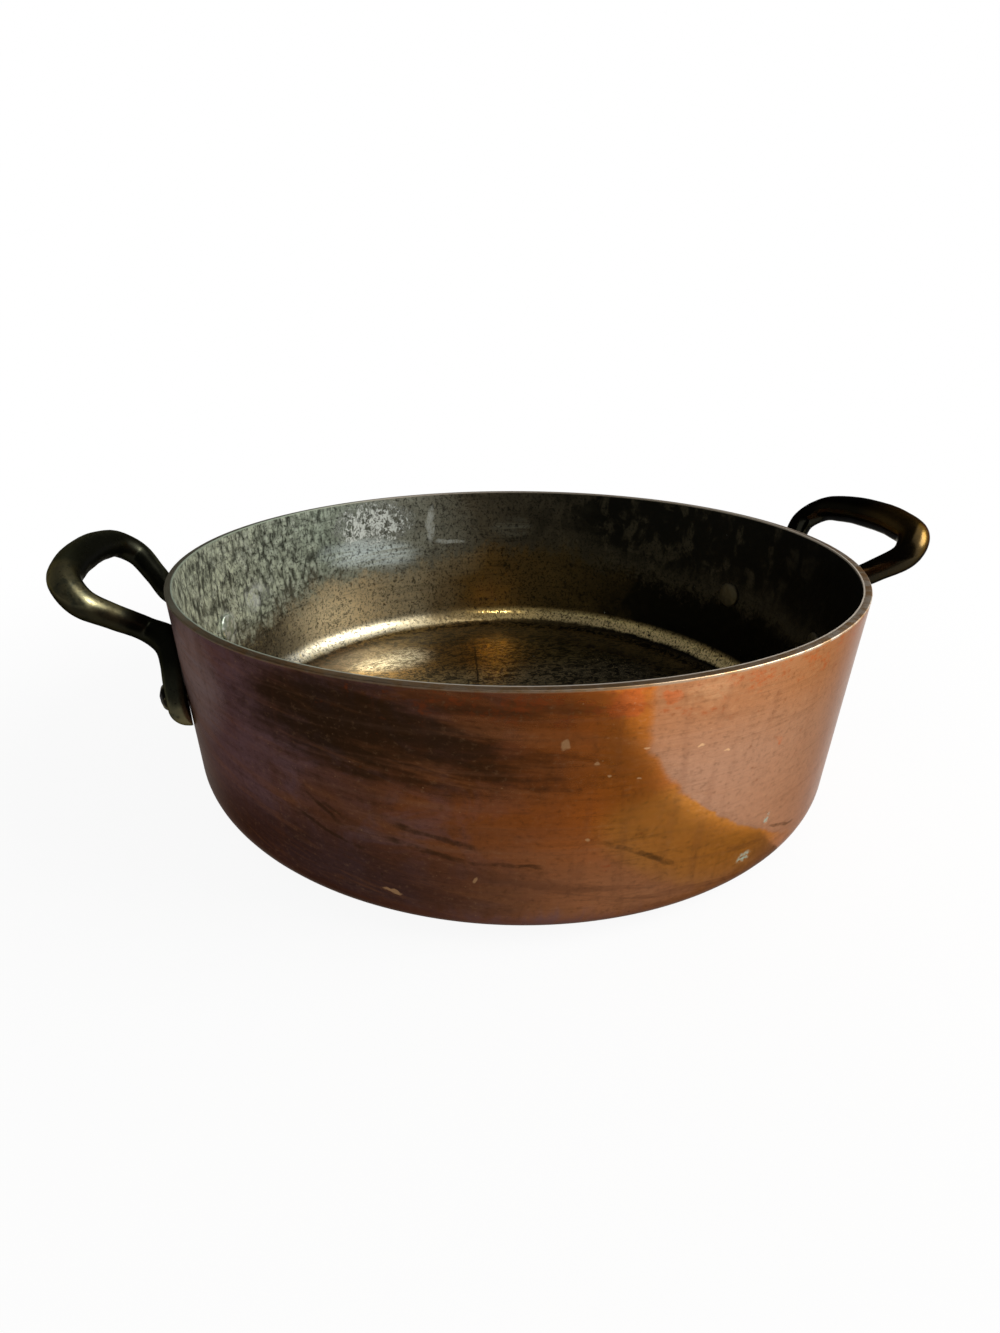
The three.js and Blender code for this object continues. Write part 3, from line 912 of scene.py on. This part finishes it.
    # worn round the corner of the bed, partly a painted highlight along the corner, white on the left,
    # and pitted all over
    lift = f.rise - f.facing(30).ease(0.3, 0.8) * 1.8
    corner = (lift + (mottle - 0.5) * 3).ease(3.6, 5.2) * lift.ease(13, 8)
    worn = corner * (0.3 + 0.7 * f.facing(25).ease(0.2, 0.7))
    worn = worn * (flakes * 0.8 + mottle * 0.4).ease(0.45, 0.59)
    f.film(worn * 0.9, f.blend(left.ease(0.1, 0.5), tones.corner, tones.crust))
    f.film((pits * 0.7 + flakes * 0.5).ease(0.59, 0.72) * (0.7 + worn * 0.2), tones.burnt)
    f.film(pits.ease(0.42, 0.34) * wall * stained * turned.ease(0.45, 0.65) * 0.4, tones.gilt)
    peeled = first_of([
        f.spot(152, 52, (15, 9)),
        f.spot(164, 46, (9, 10), 0, 0.2),
    ])
    peeled = peeled * (flakes + (mottle - 0.5)).ease(0.42, 0.56)
    pale = first_of([crust * 0.9, run * 0.5, peeled * 0.5])
    f.film(pale, tones.crust)
    # the lip of the rim
    lip = f.rise.ease(RIM_TOP - 0.9, RIM_TOP - 0.3)
    f.film(lip, f.blend(left.ease(0.1, 0.8), tones.rim, tones.slate))
    smooth = f.facing(81).ease(0.86, 0.95) * f.rise.ease(14, 9)
    coarse = f.rise.ease(3, 6) * (1 - smooth * 0.7) * (0.18 + left.ease(0.3, 0.6) * 0.08)
    rough = 0.07 + mottle * 0.1 + coarse + (1 - stained) * 0.1 + lip * 0.1
    rough = rough + ring * f.rise.ease(5, 3.5) * 0.2
    metallic = 0.92 - wall * 0.12 - pale * 0.6 - bloom * 0.4 - worn * 0.5 - (1 - stained) * 0.2
    height = mottle * 0.05 - pits.ease(0.55, 0.7) * 0.06
    height = height + strokes * (1 - wall) * 0.1 - scales * wall * 0.06
    return f.close(
        Base_Color=f.base, Metallic=metallic.at_least(0), Roughness=rough, Normal=f.bumped(height, 0.7),
        Specular_IOR_Level=0.3,
    )


def bronze_finish(tones):
    f = material("cast_bronze")
    cloud = f.grain((60, 60, 60), 4, 0.6, 0.6)
    skin = f.grain((420, 420, 420), 3, 0.6)
    pores = f.grain((1100, 1100, 1100), 2, 0.5)
    # painted shade and highlight: the right handle is painted darker than the left, as its seen side is
    # away from the light, and both are rubbed bare where they are held, with a painted highlight on the
    # front arm of the left loop
    right = f.x.ease(-0.05, 0.05)
    f.base = f.blend(right, tones.bronze, tones.bronze_shaded)
    # near marks the painted highlight on the upper side of the left loop's front arm
    near = f.y.ease(-0.017, -0.03) * f.x.ease(-0.146, -0.156) * f.x.ease(-0.187, -0.177)
    rubbed = (cloud * 0.7 + skin * 0.3 + near * 0.2).ease(0.52, 0.7) * f.x.ease(0.12, -0.05)
    f.film(rubbed * (0.12 + near * 0.6), tones.bronze_bare)
    # the outer bend of the right loop is lighter: rubbed, and partly painted light where the window
    # catches it
    bend_rub_and_light = f.x.ease(0.145, 0.176) * f.y.ease(0.006, -0.022) * (0.4 + skin * 0.8)
    f.film(bend_rub_and_light * 0.55, tones.umber)
    feet = f.rise.ease(52, 40) * cloud.ease(0.3, 0.55)
    f.film(feet * 0.7, tones.bronze_bare)
    # painted shade: black under the loops, on their inner sides, inside the right loop and where the
    # loops come near the wall, with grime spots in the skin
    over_feet = f.rise.ease(52, 62)
    grime_and_shade = f.radius.ease(160, 150) * over_feet
    grime_and_shade = grime_and_shade.at_least(f.x.ease(0.174, 0.162) * f.x.ease(0.1, 0.13))
    under = f.up.ease(0.45, -0.1) * over_feet
    loop_middle = -0.156
    inward = (f.x - loop_middle) * f.across + f.y * f.along
    under = under.at_least(inward.ease(0.002, -0.012) * f.x.ease(-0.1, -0.14))
    f.film(first_of([grime_and_shade * 0.8, skin.ease(0.56, 0.7) * 0.5, under * 0.85]), tones.black)
    rough = 0.2 + skin * 0.16 + cloud * 0.08 - right * 0.1
    height = skin * 0.1 + pores * 0.03 + cloud * 0.1
    return f.close(
        Base_Color=f.base, Metallic=0.95, Roughness=rough, Normal=f.bumped(height, 0.4),
        Specular_Tint=tones.gloom,
    )


def rivet_finish(tones):
    f = material("dark_rivet")
    skin = f.grain((350, 350, 350), 4, 0.6)
    outside = f.blend(skin.ease(0.45, 0.7), tones.rivet, tones.bronze_bare)
    tinned = f.blend(skin.ease(0.42, 0.6), tones.slate, tones.crust)
    # painted shade: the inner heads on the right are dull, like the shaded right of the inside
    tinned = f.blend(f.x.ease(-0.05, 0.05), tinned, tones.dull)
    base = f.blend(f.radius.ease(139, 137), outside, tinned)
    return f.close(
        Base_Color=base, Metallic=0.85, Roughness=0.32 + skin * 0.2, Normal=f.bumped(skin * 0.15, 0.5),
    )


# Operators

class PAN_OT_shell(bpy.types.Operator):
    """Build the copper shell"""

    bl_idname = "pan.shell"
    bl_label = "Copper shell"

    def execute(self, context):
        pan = context.scene.pan_sizes
        outside = shell_line(pan, 0, floor_rows=6, corner_rows=14, wall_rows=40)
        inside = shell_line(pan, pan.copper, floor_rows=6, corner_rows=14, wall_rows=40)
        rim = pan.rim_diameter / 2
        edge = rounded((rim - pan.rim_edge, pan.height - pan.rim_edge), pan.rim_edge, 0, 90, 5)
        line = outside[:-1] + edge + inside[::-1]
        points, faces = lathe(line, segments=288, shape=lambda point: beaten(pan, point))
        finish = copper_finish(context.scene.pan_tones)
        make_piece("copper_shell", points, faces, finish, "pan_body")
        return {"FINISHED"}


class PAN_OT_lining(bpy.types.Operator):
    """Build the tin lining"""

    bl_idname = "pan.lining"
    bl_label = "Tin lining"

    def execute(self, context):
        pan = context.scene.pan_sizes
        behind, depth = pan.copper + 0.02 * MM, pan.copper + pan.lining
        back = shell_line(pan, behind, floor_rows=4, corner_rows=10, wall_rows=30)
        face = shell_line(pan, depth, floor_rows=24, corner_rows=14, wall_rows=64)
        line = back + face[::-1]
        points, faces = lathe(line, segments=420, shape=lambda point: dimpled(pan, point))
        finish = tin_finish(context.scene.pan_tones)
        make_piece("tin_skin", points, faces, finish, "tin_lining")
        return {"FINISHED"}


class PAN_OT_handles(bpy.types.Operator):
    """Build both cast handles"""

    bl_idname = "pan.handles"
    bl_label = "Handles"

    def execute(self, context):
        scene = context.scene
        points, faces = handle_shape(scene.pan_sizes, scene.pan_handles, scene.pan_rivets)
        finish = bronze_finish(scene.pan_tones)
        make_piece("loop_right", points, faces, finish, "handle_right", 60)
        half_turn = Matrix.Rotation(math.pi, 3, "Z")
        points = [half_turn @ point for point in points]
        make_piece("loop_left", points, faces, finish, "handle_left", 60)
        return {"FINISHED"}


class PAN_OT_rivets(bpy.types.Operator):
    """Build the rivets"""

    bl_idname = "pan.rivets"
    bl_label = "Rivets"

    def execute(self, context):
        scene = context.scene
        pan, rivet = scene.pan_sizes, scene.pan_rivets
        points, faces = rivet_shape(pan, scene.pan_handles, rivet)
        finish = rivet_finish(scene.pan_tones)
        spread = math.asin(rivet.spacing / 2 / wall_radius(pan, pan.height - rivet.drop))
        places = {
            "right_front": -spread,
            "right_back": spread,
            "left_front": math.pi + spread,
            "left_back": math.pi - spread,
        }
        for name, angle in places.items():
            place = rivet_place(pan, rivet, angle)
            placed = [place @ point for point in points]
            make_piece(f"stud_{name}", placed, faces, finish, f"rivet_{name}")
        return {"FINISHED"}


def stage_mesh(name, points, faces, finish):
    thing = make_mesh(name, points, faces, finish)
    return thing


def seen(f):
    """1 for what the camera, a reflection or a see-through piece shows."""
    outputs = f.node("ShaderNodeLightPath").socket.node.outputs
    return [Wire(f, outputs[f"Is {ray} Ray"]) for ray in ("Camera", "Glossy", "Transmission")]


def floor_finish(tones):
    f = material("studio_floor")
    camera, glossy, through = seen(f)
    far = f.radius.ease(200, 520)
    white = camera.at_least(through) * (0.92 + 0.08 * far) + glossy * 0.05
    plain = f.node("ShaderNodeBsdfDiffuse", {}, {"Color": tones.floor})
    return f.show(f.node("ShaderNodeMixShader", {}, {0: white, 1: plain, 2: f.glow((1, 1, 1))}))


def floor_shade_finish():
    """A sheet of painted shade on the floor: dark, and darker from right to left."""
    f = material("painted_floor_shade")
    colour = f.blend(f.x.ease(-0.08, -0.22), (0.25, 0.23, 0.21), (0.2, 0.19, 0.185))
    colour = f.blend(f.x.ease(-0.05, 0.06) * f.y.ease(-0.25, -0.16), colour, (0.38, 0.35, 0.31))
    return f.show(f.glow(colour))


def dome_finish():
    """Nearly black in front and on the left, dim behind."""
    f = material("dark_wall")
    behind = (f.y / DOME_REACH).ease(-0.2, 0.6) * (f.z / DOME_REACH).ease(0.75, 0.3)
    colour = f.blend(behind, (0.02, 0.02, 0.022), (0.16, 0.155, 0.145))
    return f.show(f.glow(colour))


def only_in_reflections(thing):
    for ray in ("camera", "diffuse", "shadow", "transmission"):
        setattr(thing, f"visible_{ray}", False)


class PAN_OT_studio(bpy.types.Operator):
    """Build the floor, the light and the camera"""

    bl_idname = "pan.studio"
    bl_label = "Studio"

    def execute(self, context):
        scene = context.scene
        studio = scene.pan_studio
        lens = bpy.data.cameras.new("camera")
        lens.sensor_width = 36
        lens.lens = studio.camera_lens
        lens.shift_x = studio.camera_shift
        lens.clip_start = 0.01
        camera = bpy.data.objects.new("camera", lens)
        camera.location = studio.camera_place
        camera.rotation_euler = studio.camera_turn
        scene.collection.objects.link(camera)
        scene.camera = camera
        self.floor(scene)
        self.flags()
        self.window(scene, studio.window)
        self.lamp(scene, studio.lamp)
        self.world(scene, studio)
        scene.view_settings.view_transform = "Standard"
        return {"FINISHED"}

    def floor(self, scene):
        edge = [2 * math.pi * i / FLOOR_SIDES for i in range(FLOOR_SIDES)]
        ring = [around(angle, FLOOR_REACH, -0.6 * MM) for angle in edge]
        stage_mesh("floor", ring, [tuple(range(FLOOR_SIDES))], floor_finish(scene.pan_tones))

    def flags(self):
        """Dark walls round the left and back and a sheet of painted shade on the floor, seen only in
        reflections.
        """
        ways = [math.radians(a) for a in range(25, 301, 5)]
        rises = [math.radians(e) for e in range(0, 91, 5)]
        points = []
        for up in rises:
            for way in ways:
                points.append(around(way, DOME_REACH * math.cos(up), DOME_REACH * math.sin(up)))
        faces = strips(len(rises), len(ways), len(ways) - 1)
        only_in_reflections(stage_mesh("dark_wall", points, faces, dome_finish()))
        shade_sheet = [Vector((x, y, -0.3)) * MM for x, y in FLOOR_SHADE_OUTLINE]
        finish = floor_shade_finish()
        only_in_reflections(stage_mesh("painted_floor_shade", shade_sheet, [tuple(range(len(shade_sheet)))], finish))

    def window(self, scene, power):
        lamp = bpy.data.lights.new("window", "AREA")
        lamp.shape = "DISK"
        lamp.size = 0.8
        self.hang(scene, lamp, power, (1, 0.98, 0.95), Vector((1.12, -0.38, 0.84)), Vector((0, 0, 0.05)))

    def lamp(self, scene, power):
        """A small warm lamp in front, with a narrow cone that reaches only the inside of the pan."""
        lamp = bpy.data.lights.new("lamp", "SPOT")
        lamp.shadow_soft_size = 0.015
        lamp.spot_size = math.radians(3)
        lamp.spot_blend = 0.5
        place = Vector((-0.163, -1.085, 0.65))
        self.hang(scene, lamp, power, (1, 0.88, 0.56), place, Vector((0.02, 0.115, 0.012)))

    def hang(self, scene, lamp, power, colour, place, aim):
        lamp.energy = power
        lamp.color = colour
        thing = bpy.data.objects.new(lamp.name, lamp)
        thing.location = place
        thing.rotation_euler = (aim - place).to_track_quat("-Z", "Y").to_euler()
        thing.visible_camera = False
        scene.collection.objects.link(thing)

    def world(self, scene, studio):
        scene.world = bpy.data.worlds.new("studio")
        f = Finish(scene.world)
        camera, glossy, through = seen(f)
        shown = first_of([camera, glossy, through])
        strength = shown + (1 - shown) * studio.fill
        sky = f.node("ShaderNodeBackground", {}, {"Color": (1, 1, 1), "Strength": strength})
        f.node("ShaderNodeOutputWorld", {}, {"Surface": sky})


class PAN_PT_sidebar(bpy.types.Panel):
    """Lists the pan's pieces and settings"""

    bl_label = "Copper pan"
    bl_space_type = "VIEW_3D"
    bl_region_type = "UI"
    bl_category = "Pan"

    def draw(self, context):
        for operator in OPERATORS:
            self.layout.operator(operator.bl_idname)
        for name, group in GROUPS.items():
            box = self.layout.box()
            settings = getattr(context.scene, name)
            for key in group.__annotations__:
                box.prop(settings, key)


GROUPS = {
    "pan_sizes": PanSizes,
    "pan_handles": HandleSizes,
    "pan_rivets": RivetSizes,
    "pan_tones": PanTones,
    "pan_studio": PanStudio,
}
OPERATORS = (PAN_OT_shell, PAN_OT_lining, PAN_OT_handles, PAN_OT_rivets, PAN_OT_studio)


def register():
    for kind in (*GROUPS.values(), *OPERATORS, PAN_PT_sidebar):
        bpy.utils.register_class(kind)
    for name, group in GROUPS.items():
        setattr(bpy.types.Scene, name, bpy.props.PointerProperty(type=group))


def unregister():
    for name in GROUPS:
        delattr(bpy.types.Scene, name)
    for kind in (PAN_PT_sidebar, *reversed(OPERATORS), *reversed(GROUPS.values())):
        bpy.utils.unregister_class(kind)


def main():
    register()
    bpy.ops.pan.shell()
    bpy.ops.pan.lining()
    bpy.ops.pan.handles()
    bpy.ops.pan.rivets()
    bpy.ops.pan.studio()


if __name__ == "__main__":
    main()
